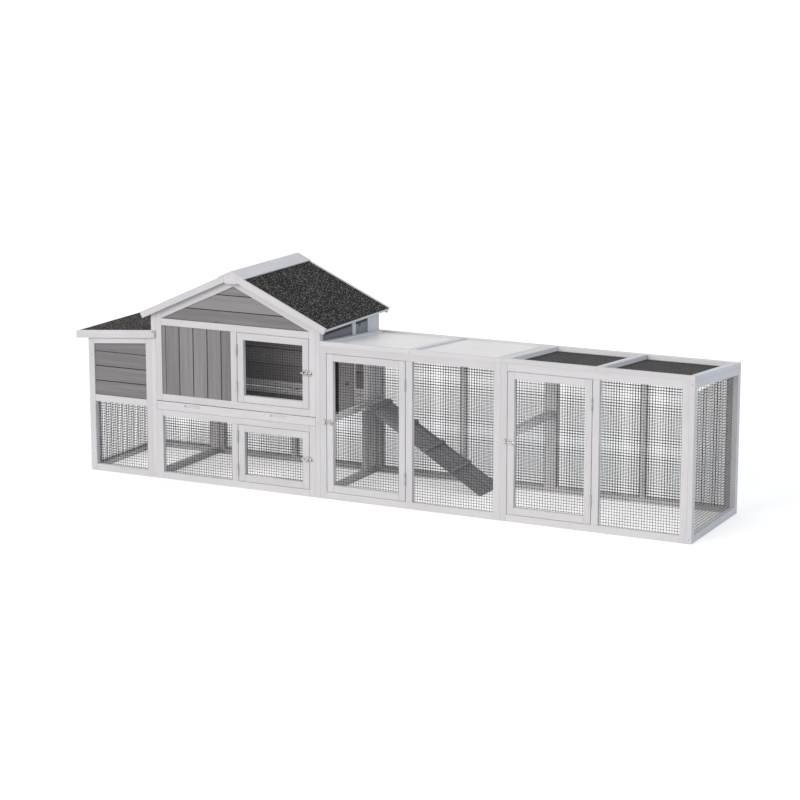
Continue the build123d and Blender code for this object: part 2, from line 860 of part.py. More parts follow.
def run_front_mesh():
    pieces = []
    for index in range(run_module_count):
        x0 = door_end(index) + face - mesh_lap
        x1 = module_end(index) - face + mesh_lap
        pieces.append(mesh_sheet(front_plane, x0, x1, face - mesh_lap, front_rail_base + mesh_lap, -timber))
    return pieces


def run_back_mesh():
    pieces = []
    for index in range(run_module_count):
        bays = [(module_start(index) + face, door_end(index)), (door_end(index) + face, module_end(index) - face)]
        for x0, x1 in bays:
            pieces.append(mesh_sheet(back_plane, -(x1 + mesh_lap), -(x0 - mesh_lap),
                                     face - mesh_lap, back_rail_base + mesh_lap, back_inner))
    return pieces


def run_end_mesh():
    high = run_under(depth - face) - face + mesh_lap
    return mesh_sheet(right_plane, face - mesh_lap + mesh_edge_gap, depth - face + mesh_lap - mesh_edge_gap,
                      face - mesh_lap, high, run_length - timber)


def perch():
    """The rail across the run that ties its front to its back."""
    middle = run_module_length
    return timber_box(middle - face / 2, middle + face / 2, timber, back_inner, perch_base, perch_base + face)


# House mesh
def house_mesh():
    front = mesh_sheet(front_plane, stile_inner_left - mesh_lap, middle_stile_left + mesh_lap,
                       face - mesh_lap, lower_frame_opening + mesh_lap, -timber)
    pieces = [front]
    for x0, x1 in ((stile_inner_left, middle_stile_left), (middle_stile_right, stile_inner_right)):
        pieces.append(mesh_sheet(back_plane, -(x1 + mesh_lap), -(x0 - mesh_lap), face - mesh_lap,
                                 wall_floor_rail_top + mesh_lap, back_inner))
    return pieces


# Doors: side is 1 where the hinges are on the left and the latch on the right
class Door:
    def __init__(self, name, x0, x1, z0, z1, side, stile, rail, hinges, bolt_height):
        self.name = name
        self.side = side
        self.opening = (x0, x1, z0, z1)
        self.hinge_x = x0 + hinge_gap / 2 if side > 0 else x1 - hinge_gap / 2
        if side > 0:
            self.x0, self.x1 = x0 + hinge_gap, x1 - latch_gap
        else:
            self.x0, self.x1 = x0 + latch_gap, x1 - hinge_gap
        self.z0, self.z1 = z0 + door_gap, z1 - door_gap
        self.stile, self.rail = stile, rail
        self.hinges = hinges
        self.bolt_height = bolt_height

    def frame(self):
        inner0, inner1 = self.x0 + self.stile, self.x1 - self.stile
        return [
            timber_box(self.x0, inner0, 0, timber, self.z0, self.z1),
            timber_box(inner1, self.x1, 0, timber, self.z0, self.z1),
            timber_box(inner0, inner1, 0, timber, self.z0, self.z0 + self.rail),
            timber_box(inner0, inner1, 0, timber, self.z1 - self.rail, self.z1),
        ]

    def mesh(self):
        lap = mesh_lap
        return mesh_sheet(front_plane, self.x0 + self.stile - lap, self.x1 - self.stile + lap,
                          self.z0 + self.rail - lap, self.z1 - self.rail + lap, -timber)

    def hinge_leaf(self, height, moving):
        """One leaf in the seam, with its knuckles and, on the fixed leaf, the pin."""
        third = hinge_length / 3
        toward = self.side if moving else -self.side
        near = hinge_gap / 2 - hinge_leaf
        x_a, x_b = sorted((toward * near, toward * (hinge_gap / 2)))
        leaf = timber_box(x_a, x_b, -hinge_axis_out + knuckle_radius + hinge_pin_clearance,
                          hinge_leaf_depth, 0, hinge_length)
        spans = [(0, third - hinge_knuckle_gap), (2 * third + hinge_knuckle_gap, hinge_length)]
        if moving:
            spans = [(third, 2 * third)]
        for z0, z1 in spans:
            knuckle = Cylinder(knuckle_radius, z1 - z0, align=(Align.CENTER, Align.CENTER, Align.MIN))
            web = timber_box(x_a, x_b, -hinge_axis_out, 0, z0, z1)
            leaf = leaf + Pos(0, -hinge_axis_out, z0) * knuckle + web
        radius = hinge_pin_radius + (hinge_pin_clearance if moving else 0)
        pin = Cylinder(radius, hinge_length, align=(Align.CENTER, Align.CENTER, Align.MIN))
        pin = Pos(0, -hinge_axis_out, 0) * pin
        leaf = leaf - pin if moving else leaf + pin
        return Pos(self.hinge_x, 0, height - hinge_length / 2) * leaf

    def hinge_leaves(self, moving):
        return [self.hinge_leaf(height, moving) for height in self.hinges]

    def latch_edge(self):
        return self.x1 if self.side > 0 else self.x0

    def along_bolt(self, start, end, radius):
        """A round bar on the bolt's line, from one distance off the door's edge to another."""
        rod = Cylinder(radius, end - start, align=(Align.CENTER, Align.CENTER, Align.MIN))
        turn = Rot(0, 90 * self.side, 0)
        return Pos(self.latch_edge() + self.side * start, -bolt_axis_out, self.bolt_height) * turn * rod

    def bolt_seat(self, start, end, straps):
        """A plate with raised straps, bored for the bolt."""
        x_a, x_b = sorted((self.latch_edge() + self.side * start, self.latch_edge() + self.side * end))
        low = self.bolt_height - bolt_seat_height / 2
        body = timber_box(x_a, x_b, -bolt_seat_thickness, 0, low, low + bolt_seat_height)
        for strap_start, strap_end in straps:
            x_a, x_b = sorted((self.latch_edge() + self.side * strap_start,
                               self.latch_edge() + self.side * strap_end))
            body = body + timber_box(x_a, x_b, -bolt_axis_out, -bolt_seat_thickness,
                                     self.bolt_height - bolt_strap_radius,
                                     self.bolt_height + bolt_strap_radius)
            body = body + self.along_bolt(strap_start, strap_end, bolt_strap_radius)
        return body - self.along_bolt(start - 1, end + 1, bolt_radius + bolt_clearance)

    def bolt_seat_on_door(self):
        start, end = -bolt_set_back - bolt_seat_length, -bolt_set_back
        straps = [(start, start + bolt_strap_length), (end - bolt_strap_length, end)]
        return self.bolt_seat(start, end, straps)

    def keeper(self):
        start = latch_gap + keeper_set_back
        return self.bolt_seat(start, start + keeper_length, [(start, start + keeper_length)])

    def bolt(self):
        """The sliding rod, drawn back, with a knob that stands out between the straps."""
        tip = -bolt_tip_inset
        knob_place = -bolt_set_back - bolt_seat_length + bolt_strap_length + bolt_knob_stem + bolt_clearance
        stem = Cylinder(bolt_knob_stem, bolt_knob_reach, align=(Align.CENTER, Align.CENTER, Align.MIN))
        head = Cylinder(bolt_knob_radius, bolt_knob_head, align=(Align.CENTER, Align.CENTER, Align.MAX))
        knob = stem + Pos(0, 0, bolt_knob_reach) * head
        place = Pos(self.latch_edge() + self.side * knob_place, -bolt_axis_out, self.bolt_height)
        return self.along_bolt(tip - bolt_length, tip, bolt_radius) + place * Rot(90, 0, 0) * knob


def hinge_pair(z0, z1, inset_bottom, inset_top):
    return (z0 + inset_bottom, z1 - inset_top)


def make_doors():
    upper_base = upper_frame_base + face
    upper_top = header_top - face
    doors = [
        Door("upper_door", middle_stile_right, stile_inner_right, upper_base, upper_top, 1,
             door_stile, upper_door_rail,
             hinge_pair(upper_base, upper_top, upper_hinge_inset_bottom, upper_hinge_inset_top),
             upper_base + upper_bolt_rise),
        Door("lower_door", middle_stile_right, stile_inner_right, face, lower_frame_opening, 1,
             lower_door_stile, lower_door_rail,
             hinge_pair(face, lower_frame_opening, lower_hinge_inset, lower_hinge_inset),
             face + lower_bolt_rise),
    ]
    for index, name in enumerate(("run_door_left", "run_door_right")):
        doors.append(Door(name, module_start(index) + face, door_end(index), face, front_rail_base, -1,
                          door_stile, upper_door_rail,
                          hinge_pair(face, front_rail_base, run_hinge_inset_bottom, run_hinge_inset_top),
                          face + run_bolt_rise))
    return doors


# Landing and ramp
ramp_pivot_x = landing_length + ramp_pivot_out
ramp_pivot_z = wall_floor_rail_top - ramp_pivot_drop
ramp_below_pivot = ramp_length - ramp_pivot_out + ramp_top_gap
ramp_reach = math.hypot(ramp_below_pivot, ramp_thickness / 2)
ramp_angle = math.asin(ramp_pivot_z / ramp_reach) - math.atan(ramp_thickness / 2 / ramp_below_pivot)
ramp_end = depth - ramp_from_back
ramp_start = ramp_end - ramp_width


def on_ramp(piece):
    """Place a piece drawn on a level ramp, whose pivot is at the origin."""
    return Pos(ramp_pivot_x, 0, ramp_pivot_z) * Rot(0, math.degrees(ramp_angle), 0) * piece


def landing():
    top = wall_floor_rail_top
    return timber_box(0, landing_length, landing_start, back_inner - mesh_gauge,
                      top - landing_thickness, top)


def ramp():
    above = ramp_pivot_out - ramp_top_gap
    half = ramp_thickness / 2
    board = timber_box(-above, ramp_below_pivot, ramp_start, ramp_end, -half, half)
    for start, turn in ((ramp_start, -90), (ramp_end, 90)):
        bore = Cylinder(ramp_pin_radius + slide_clearance, ramp_pin_depth,
                        align=(Align.CENTER, Align.CENTER, Align.MIN))
        board = board - Pos(0, start, 0) * Rot(turn, 0, 0) * bore
    pieces = [on_ramp(board)]
    for index in range(ramp_cleat_count):
        x0 = -above + ramp_cleat_inset + index * ramp_cleat_pitch
        cleat = timber_box(x0, x0 + ramp_cleat_width, ramp_start, ramp_end, half, half + ramp_cleat_height)
        pieces.append(on_ramp(cleat))
    return pieces


def ramp_brackets():
    """Two ears on the landing's edge, each with a pin into the side of the ramp."""
    pieces = []
    low = ramp_pivot_z - ramp_bracket_height / 2
    high = low + ramp_bracket_height
    for start, turn, side in ((ramp_start, -90, -1), (ramp_end, 90, 1)):
        y_a = start + side * ramp_bracket_gap
        y_b = y_a + side * ramp_bracket
        y_low, y_high = sorted((y_a, y_b))
        ear = timber_box(landing_length, ramp_pivot_x + ramp_bracket_height / 2, y_low, y_high, low, high)
        foot_low, foot_high = sorted((y_a, y_a + side * ramp_bracket_foot))
        foot = timber_box(landing_length, landing_length + ramp_bracket, foot_low, foot_high, low, high)
        pin = Cylinder(ramp_pin_radius, ramp_pin_depth - ramp_pin_end_gap + ramp_bracket_gap,
                       align=(Align.CENTER, Align.CENTER, Align.MIN))
        pieces.append(ear + foot + Pos(ramp_pivot_x, y_a, ramp_pivot_z) * Rot(turn, 0, 0) * pin)
    return pieces


# Screw heads on the faces of the posts
def screw_front(x, z, y=0.0, radius=screw_radius):
    head = Cylinder(radius, screw_head, align=(Align.CENTER, Align.CENTER, Align.MIN))
    return Pos(x, y, z) * Rot(90, 0, 0) * head


def screw_back(x, z, radius=screw_radius):
    head = Cylinder(radius, screw_head, align=(Align.CENTER, Align.CENTER, Align.MIN))
    return Pos(x, depth, z) * Rot(-90, 0, 0) * head


def screw_end(y, z):
    head = Cylinder(screw_radius, screw_head, align=(Align.CENTER, Align.CENTER, Align.MIN))
    return Pos(run_length, y, z) * Rot(0, 90, 0) * head


def frame_screws():
    floor_level = wall_floor_rail_top - timber / 2
    foot_level = face * 0.6
    corner = timber / 2
    heads = []
    for x in (house_left + corner, -corner):
        for z in (foot_level, floor_level):
            heads += [screw_front(x, z), screw_back(x, z)]
    top_level = run_front_height - run_top_frame / 2
    for index in range(run_module_count):
        heads.append(screw_front(door_end(index) + face / 2, top_level))
    end_edge = run_length - corner
    for z in (foot_level, front_rail_base + face / 2):
        heads.append(screw_front(end_edge, z))
    heads.append(screw_back(end_edge, foot_level))
    joint = run_module_length
    heads.append(screw_front(joint - face / 2, perch_base, radius=coach_bolt_radius))
    for z in (2.5 * face, nest_mid_rail_top + 6 * face):
        heads.append(screw_front(nest_left + face / 2, z))
    return heads


def build():
    keep("house_front_frame", house_front_frame())
    keep("house_back_frame", house_back_frame())
    keep("house_left_frame", house_left_frame())
    keep("house_right_frame", house_right_frame(), pop_guides())
    house_planks()
    side_planks()
    keep("rafters", rafters())
    keep("roof_boards", [roof_layer(side, 0, roof_board, roof_slope_length, roof_front, roof_back)
                         for side in (-1, 1)])
    keep("roof_felts", [roof_layer(side, roof_board, felt_top, roof_slope_length, roof_front, roof_back)
                        for side in (-1, 1)])
    keep("ridge_cap", ridge_cap())
    keep("bargeboards", bargeboards())
    keep("house_mesh", house_mesh())
    keep("tray_frame", tray_front(), tray_boards())
    keep("tray_floor", tray_floor())
    keep("tray_runners", tray_runners())
    keep("pop_door", pop_door())
    keep("nest_front_frame", nest_face_frame(0, timber))
    keep("nest_back_frame", nest_face_frame(back_inner, depth))
    keep("nest_left_frame", nest_left_frame())
    keep("nest_planks", nest_planks())
    keep("nest_mesh", nest_mesh())
    keep("nest_floor", nest_floor())
    keep("nest_lid_board", lid_layer(0, nest_lid_board))
    keep("nest_lid_felt", lid_layer(nest_lid_board, nest_lid_board + felt))
    keep("nest_lid_fascia", nest_lid_fascia())
    keep("nest_lid_pins", nest_lid_pins())
    keep("run_front_frame", run_face_frame(0, 0, timber, front_rail_base),
         run_face_frame(1, 0, timber, front_rail_base))
    backs = []
    for index in range(run_module_count):
        backs += run_face_frame(index, back_inner, depth, back_rail_base)
    keep("run_back_frame", backs)
    keep("run_end_posts", run_end_posts())
    keep("run_end_rails", run_end_rails())
    keep("run_top_frame", run_top_frames())
    keep("run_top_sheets", run_top_sheets())
    keep("run_top_mesh", run_top_mesh())
    keep("run_front_mesh", run_front_mesh())
    keep("run_back_mesh", run_back_mesh())
    keep("run_end_mesh", run_end_mesh())
    keep("perch", perch())
    keep("landing", landing())
    keep("ramp", ramp())
    fixed = ramp_brackets()
    for door in make_doors():
        keep(door.name + "_frame", door.frame())
        keep(door.name + "_mesh", door.mesh())
        keep(door.name + "_fittings", door.hinge_leaves(True), door.bolt_seat_on_door())
        keep(door.name + "_bolt", door.bolt())
        fixed += door.hinge_leaves(False) + [door.keeper()]
    keep("fixed_fittings", fixed)
    keep("frame_screws", frame_screws())


# The origin is at the middle of the base of the whole coop
middle_x = (lid_left + run_length) / 2
middle_y = (barge_front + barge_back) / 2
build()
os.makedirs("parts", exist_ok=True)
for name, pieces in nodes.items():
    moved = [Pos(-middle_x, -middle_y, 0) * piece for piece in pieces]
    export_step(Compound(children=moved), "parts/" + name + ".step")
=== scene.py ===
import json
import math
import random

import bmesh
import bpy
from mathutils import Matrix, Vector

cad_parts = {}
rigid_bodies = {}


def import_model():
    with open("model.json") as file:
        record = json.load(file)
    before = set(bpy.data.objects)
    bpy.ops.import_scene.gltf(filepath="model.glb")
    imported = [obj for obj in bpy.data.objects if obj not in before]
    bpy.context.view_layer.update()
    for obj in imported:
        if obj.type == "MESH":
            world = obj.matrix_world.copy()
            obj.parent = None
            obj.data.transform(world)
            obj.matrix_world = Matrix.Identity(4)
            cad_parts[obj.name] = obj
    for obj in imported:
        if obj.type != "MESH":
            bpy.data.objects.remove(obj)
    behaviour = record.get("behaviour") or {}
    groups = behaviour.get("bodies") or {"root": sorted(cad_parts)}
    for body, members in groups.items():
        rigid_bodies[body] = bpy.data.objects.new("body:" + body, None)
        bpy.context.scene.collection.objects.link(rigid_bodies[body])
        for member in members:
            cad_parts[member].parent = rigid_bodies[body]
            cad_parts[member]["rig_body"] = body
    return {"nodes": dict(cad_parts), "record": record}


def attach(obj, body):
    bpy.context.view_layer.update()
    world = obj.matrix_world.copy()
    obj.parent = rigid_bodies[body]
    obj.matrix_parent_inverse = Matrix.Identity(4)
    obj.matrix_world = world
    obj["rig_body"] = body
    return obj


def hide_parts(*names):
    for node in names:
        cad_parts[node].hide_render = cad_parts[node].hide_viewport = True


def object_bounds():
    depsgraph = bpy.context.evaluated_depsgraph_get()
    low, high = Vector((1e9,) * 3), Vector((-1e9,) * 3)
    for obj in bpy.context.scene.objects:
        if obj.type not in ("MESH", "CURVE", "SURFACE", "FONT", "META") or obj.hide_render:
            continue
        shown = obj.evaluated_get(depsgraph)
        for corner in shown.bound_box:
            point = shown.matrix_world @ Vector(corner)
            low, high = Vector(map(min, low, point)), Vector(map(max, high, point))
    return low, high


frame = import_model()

# Chicken coop with run, in metres

cad_low, cad_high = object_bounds()
scene = bpy.context.scene

# Wire mesh
wire_pitch = 0.0118
wire_thickness = 0.0020
mesh_depth = 0.002
wire_sides = 6

# Rounding of edges
eased_timber = 0.0013
eased_plank = 0.0005
eased_felt = 0.0008
eased_sheet = 0.0004
eased_steps = 2
eased_angle = 30.0

# Copies of the CAD solids
same_place = 1e-6
flat_angle = 0.01
grain_shift = 9.0

# Screw heads, each loop as shares of the full reach and height
screw_radius = 0.0032
screw_height = 0.0008
screw_sides = 16
screw_dome = ((1.0, 0.0), (1.0, 0.35), (0.82, 0.80), (0.60, 1.0))
screw_recess = ((1.0, 1.0), (0.9, 0.25))
screw_arm = 0.50
screw_waist = 0.16

# Patterns in repeats to the metre, with three numbers for along, across and through a board
paint_fibre = (14, 420, 420)
paint_cloud = (5, 26, 26)
stain_rings = (2.2, 58, 58)
stain_fibre = (22, 640, 640)
knot_repeats = 7.0
knot_stretch = (0.8, 1, 1)
ramp_rings = (3.2, 70, 70)
ramp_fibre = (24, 600, 600)
felt_chips = 185.0
felt_grains = 620.0
felt_patches = 6.0
wire_wear = 90.0
nickel_marks = (900, 900, 160)
nickel_tarnish = 55.0
sheet_clouds = 5.0
sheet_pebbles = 260.0
tray_scuffs = (30, 8, 30)

# Relief of the finishes
paint_relief = 0.0004
stain_relief = 0.0005
felt_relief = 0.0009
nickel_relief = 0.0001
sheet_relief = 0.0002

# Finishes, as linear colours
white_paint_bright = (0.695, 0.686, 0.698, 1)
white_paint_dull = (0.632, 0.622, 0.633, 1)
grey_stain_light = (0.295, 0.286, 0.293, 1)
grey_stain_dark = (0.205, 0.198, 0.204, 1)
knot_colour = (0.060, 0.055, 0.055, 1)
# Painted shade: the dark colour in the grooves between the grey boards
board_groove_shade_colour = (0.030, 0.028, 0.030, 1)
felt_dark = (0.0115, 0.0100, 0.0092, 1)
felt_grit = (0.60, 0.565, 0.535, 1)
ramp_stain_light = (0.345, 0.342, 0.352, 1)
ramp_stain_dark = (0.220, 0.218, 0.228, 1)
wire_black = (0.022, 0.022, 0.024, 1)
wire_grey = (0.045, 0.045, 0.048, 1)
nickel_bright = (0.60, 0.59, 0.575, 1)
nickel_dull = (0.40, 0.39, 0.38, 1)
sheet_pale = (0.85, 0.84, 0.825, 1)
sheet_cloudy = (0.78, 0.77, 0.755, 1)
tray_grey_light = (0.16, 0.16, 0.165, 1)
tray_grey_dark = (0.11, 0.11, 0.115, 1)

# Camera of the photograph
camera_place = (4.6839, -9.3406, 2.6326)
camera_azimuth = 26.57
camera_elevation = 12.08
camera_lens = 112.3
camera_sensor = 36.0
camera_reach = 400.0

# Light
sky_light = (0.95, 0.965, 1.0, 1)
sky_strength = 0.70
lamps = {
    "key": {
        "strength": 1.40,
        "colour": (1.0, 0.93, 0.89),
        "from": (-0.30, -0.80, 0.38),
        "softness": 35.0,
    },
    "fill": {
        "strength": 0.55,
        "colour": (0.10, 0.50, 1.0),
        "from": (1.0, -0.06, 0.03),
        "softness": 40.0,
    },
}
glow_colour = (1.0, 0.965, 0.945)
glow_radius = 0.08
glows = {
    "upper_room": {"place": (-0.52, 0.02, 0.44), "strength": 1.1},
    "lower_room": {"place": (-0.65, -0.06, 0.17), "strength": 0.6},
    "under_nest": {"place": (-1.22, -0.06, 0.17), "strength": 0.4},
    "run_1": {"place": (0.00, -0.10, 0.38), "strength": 0.75},
    "run_2": {"place": (0.42, -0.10, 0.38), "strength": 0.75},
    "run_3": {"place": (0.84, -0.10, 0.38), "strength": 0.75},
    "run_4": {"place": (1.24, -0.10, 0.38), "strength": 0.75},
}
floor_half = 150.0
floor_colour = (0.70, 0.70, 0.70, 1)
floor_glow = (0.50, 0.50, 0.50, 1)


class Value:
    """A socket that takes part in sums: each operator adds a Math node to its graph."""

    def __init__(self, graph, socket):
        self.graph = graph
        self.socket = socket

    def __add__(self, other):
        return self.graph.sum("ADD", self, other)

    def __sub__(self, other):
        return self.graph.sum("SUBTRACT", self, other)

    def __rsub__(self, other):
        return self.graph.sum("SUBTRACT", other, self)

    def __mul__(self, other):
        return self.graph.sum("MULTIPLY", self, other)

    def __truediv__(self, other):
        return self.graph.sum("DIVIDE", self, other)

    def __rtruediv__(self, other):
        return self.graph.sum("DIVIDE", other, self)

    __radd__ = __add__
    __rmul__ = __mul__


class Graph:
    """A node tree, filled through one method."""

    def __init__(self, tree):
        self.tree = tree

    def node(self, kind, settings=None, inputs=None, output=0):
        """One node, with its settings first and then the values or links of its sockets."""
        made = self.tree.nodes.new(kind)
        for name, value in (settings or {}).items():
            setattr(made, name, value)
        for place, value in (inputs or {}).items():
            self.feed(made.inputs[place], value)
        return Value(self, made.outputs[output])

    def beside(self, value, output):
        """Another output of the node that gave this value."""
        return Value(self, value.socket.node.outputs[output])

    def feed(self, socket, value):
        if isinstance(value, Value):
            self.tree.links.new(value.socket, socket)
        else:
            socket.default_value = value

    def sum(self, operation, first, second):
        return self.node("ShaderNodeMath", {"operation": operation}, {0: first, 1: second})


class Finish(Graph):
    """A material. What is the same all over sits on the shader's own sockets."""

    def __init__(self, name, constants):
        self.material = bpy.data.materials.new(name)
        self.material.use_nodes = True
        super().__init__(self.material.node_tree)
        self.shader = self.tree.nodes["Principled BSDF"]
        for socket, value in constants.items():
            self.shader.inputs[socket].default_value = value

    def show(self, socket, value):
        self.feed(self.shader.inputs[socket], value)

    def relief(self, height, depth):
        bump = self.node("ShaderNodeBump", None, {"Height": height, "Distance": depth})
        self.show("Normal", bump)

    def blend(self, factor, first, second):
        return self.node("ShaderNodeMix", {"data_type": "RGBA"}, {0: factor, 6: first, 7: second}, 2)

    def step(self, value, low, high):
        """0 below low, 1 above high, smooth between."""
        return self.node("ShaderNodeMapRange", {"interpolation_type": "SMOOTHSTEP"},
                         {"Value": value, "From Min": low, "From Max": high})

    def noise(self, place, repeats, detail):
        return self.node("ShaderNodeTexNoise", None,
                         {"Vector": place, "Scale": repeats, "Detail": detail})

    def stretch(self, place, amounts):
        return self.node("ShaderNodeVectorMath", {"operation": "MULTIPLY"}, {0: place, 1: amounts})

    def streaks(self, place, repeats, detail):
        """Noise with its own number of repeats along each axis."""
        return self.noise(self.stretch(place, repeats), 1.0, detail)

    def cells(self, place, repeats, randomness):
        """Scattered cells: the distance from each one's middle, and a random number for each."""
        distance = self.node("ShaderNodeTexVoronoi", None,
                             {"Vector": place, "Scale": repeats, "Randomness": randomness})
        return distance, self.node("ShaderNodeSeparateColor", None, {0: self.beside(distance, 1)})

    def object_place(self):
        return self.node("ShaderNodeTexCoord", output=3)

    def board_place(self):
        """Place on a board, with x along its grain."""
        return self.node("ShaderNodeAttribute", {"attribute_name": "grain"}, output=1)

    def board_side(self):
        """0 along the middle of a board, 1 along its long edges."""
        side = self.node("ShaderNodeAttribute", {"attribute_name": "side"}, output=2)
        return self.sum("ABSOLUTE", side, 0.0)

    def board_tone(self):
        """A number from 0 to 1 that differs from board to board."""
        return self.node("ShaderNodeAttribute", {"attribute_name": "tone"}, output=2)


def white_paint():
    """Satin white paint, with the grain of the softwood faintly raised under it."""
    finish = Finish("white_paint", {"Specular IOR Level": 0.4})
    place = finish.board_place()
    fibre = finish.streaks(place, paint_fibre, 4.0)
    cloud = finish.streaks(place, paint_cloud, 3.0)
    shade = finish.step(cloud * 0.55 + fibre * 0.25 + finish.board_tone() * 0.2, 0.34, 0.66)
    finish.show("Base Color", finish.blend(shade, white_paint_dull, white_paint_bright))
    finish.show("Roughness", 0.42 + fibre * 0.16)
    finish.relief(fibre * 0.7 + cloud * 0.5, paint_relief)
    return finish.material


def grey_stain():
    """Thin grey stain on softwood boards: growth rings, fibres and a few knots, with painted shade
    darkening the grooves between boards.
    """
    finish = Finish("grey_stain", {"Specular IOR Level": 0.3})
    place = finish.board_place()
    rings = finish.streaks(place, stain_rings, 5.0)
    fibre = finish.streaks(place, stain_fibre, 3.0)
    knots, rarity = finish.cells(finish.stretch(place, knot_stretch), knot_repeats, 0.95)
    knot = (1 - finish.step(knots, 0.04, 0.10)) * finish.step(rarity, 0.50, 0.56)
    shade = finish.step(rings * 0.50 + fibre * 0.25 + finish.board_tone() * 0.25, 0.34, 0.66)
    stained = finish.blend(shade, grey_stain_dark, grey_stain_light)
    knotty = finish.blend(knot * 0.85, stained, knot_colour)
    # Painted shade: each board is darkened along its long edges, where the grooves between boards
    # hold shadow
    groove_shade = finish.step(finish.board_side(), 0.915, 0.965)
    finish.show("Base Color", finish.blend(groove_shade, knotty, board_groove_shade_colour))
    finish.show("Roughness", 0.55 + fibre * 0.25)
    finish.relief(fibre + rings * 0.6 - knot * 0.5, stain_relief)
    return finish.material


def ramp_stain():
    """Dark grey stain on the ramp and its cleats."""
    finish = Finish("ramp_stain", {"Specular IOR Level": 0.3})
    place = finish.board_place()
    rings = finish.streaks(place, ramp_rings, 5.0)
    fibre = finish.streaks(place, ramp_fibre, 3.0)
    shade = finish.step(rings * 0.7 + fibre * 0.3, 0.36, 0.66)
    finish.show("Base Color", finish.blend(shade, ramp_stain_dark, ramp_stain_light))
    finish.show("Roughness", 0.55 + fibre * 0.3)
    finish.relief(fibre + rings * 0.5, stain_relief)
    return finish.material


def roofing_felt():
    """Bitumen felt with pale mineral chips pressed into it."""
    finish = Finish("roofing_felt", {"Specular IOR Level": 0.12})
    place = finish.object_place()
    chips, kind = finish.cells(place, felt_chips, 1.0)
    grit = finish.noise(place, felt_grains, 2.0)
    patches = finish.noise(place, felt_patches, 3.0)
    chip = (1 - finish.step(chips, 0.26, 0.42)) * finish.step(kind, 0.38, 0.85)
    speckle = finish.step(grit + patches * 0.1, 0.54, 0.74)
    finish.show("Base Color", finish.blend(chip * 0.85 + speckle * 0.09, felt_dark, felt_grit))
    finish.show("Roughness", 0.76 + grit * 0.2)
    finish.relief(grit * 0.5 + chip, felt_relief)
    return finish.material


def coated_wire():
    """Black coating on the welded wire, thinner and greyer in places."""
    finish = Finish("coated_wire", {"Specular IOR Level": 0.35})
    wear = finish.noise(finish.object_place(), wire_wear, 2.0)
    finish.show("Base Color", finish.blend(finish.step(wear, 0.4, 0.7), wire_black, wire_grey))
    finish.show("Roughness", 0.34 + wear * 0.25)
    return finish.material


def nickel_plate():
    """Bright nickel on the bolts, hinges and screws, with faint handling marks."""
    finish = Finish("nickel_plate", {"Metallic": 1.0})
    place = finish.object_place()
    marks = finish.streaks(place, nickel_marks, 3.0)
    tarnish = finish.noise(place, nickel_tarnish, 3.0)
    shade = finish.step(tarnish, 0.35, 0.70)
    finish.show("Base Color", finish.blend(shade, nickel_dull, nickel_bright))
    finish.show("Roughness", 0.22 + marks * 0.16 + tarnish * 0.08)
    finish.relief(marks, nickel_relief)
    return finish.material


def cloudy_sheet():
    """Pale sheet let into the top of the run."""
    finish = Finish("cloudy_sheet", {"Specular IOR Level": 0.5})
    place = finish.object_place()
    cloud = finish.noise(place, sheet_clouds, 4.0)
    pebble = finish.noise(place, sheet_pebbles, 2.0)
    finish.show("Base Color", finish.blend(finish.step(cloud, 0.3, 0.7), sheet_cloudy, sheet_pale))
    finish.show("Roughness", 0.30 + pebble * 0.15)
    finish.relief(pebble, sheet_relief)
    return finish.material


def tray_sheet():
    """Dark grey floor of the tray."""
    finish = Finish("tray_sheet", {"Specular IOR Level": 0.4})
    scuff = finish.streaks(finish.object_place(), tray_scuffs, 4.0)
    shade = finish.step(scuff, 0.35, 0.7)
    finish.show("Base Color", finish.blend(shade, tray_grey_dark, tray_grey_light))
    finish.show("Roughness", 0.45 + scuff * 0.25)
    return finish.material


finishes = {
    "white_timber": white_paint(),
    "grey_planks": grey_stain(),
    "roof_felt": roofing_felt(),
    "wire_mesh": coated_wire(),
    "light_sheet": cloudy_sheet(),
    "fittings": nickel_plate(),
    "ramp_timber": ramp_stain(),
    "tray_sheet": tray_sheet(),
}
eased_edges = {
    "white_timber": eased_timber,
    "grey_planks": eased_plank,
    "roof_felt": eased_felt,
    "light_sheet": eased_sheet,
    "ramp_timber": eased_timber,
}
slot_of = {part["node"]: part["material_slot"] for part in frame["record"]["subparts"]}


def solids_of(node):
    """The separate solids of a CAD node, each as a list of triangles of corner points."""
    mesh = frame["nodes"][node].data
    solids = []
    current = []
    open_edges = set()
    for polygon in mesh.polygons:
        points = [mesh.vertices[index].co.copy() for index in polygon.vertices]
        keys = [tuple(round(value, 6) for value in point) for point in points]
        current.append(points)
        for start, end in zip(keys, keys[1:] + keys[:1]):
            if (end, start) in open_edges:
                open_edges.remove((end, start))
            else:
                open_edges.add((start, end))
        if not open_edges:
            solids.append(current)
            current = []
    if current:
        solids.append(current)
    return solids


def box_of(triangles):
    points = [point for triangle in triangles for point in triangle]
    low = Vector(min(point[axis] for point in points) for axis in range(3))
    high = Vector(max(point[axis] for point in points) for axis in range(3))
    return low, high


def clean_solid(triangles):
    """One solid with its corners merged and its flat faces whole."""
    solid = bmesh.new()
    for triangle in triangles:
        solid.faces.new([solid.verts.new(point) for point in triangle])
    bmesh.ops.remove_doubles(solid, verts=solid.verts, dist=same_place)
    bmesh.ops.dissolve_limit(solid, angle_limit=flat_angle, verts=solid.verts, edges=solid.edges)
    return solid


def grain_axes(solid):
    """Along, across and through a board: its longest edge gives the run of the grain."""
    longest = max(solid.edges, key=lambda edge: edge.calc_length())
    along = (longest.verts[1].co - longest.verts[0].co).normalized()
    reference = Vector((0, 1, 0)) if abs(along.y) < 0.9 else Vector((0, 0, 1))
    across = along.cross(reference).normalized()
    return along, across, along.cross(across)


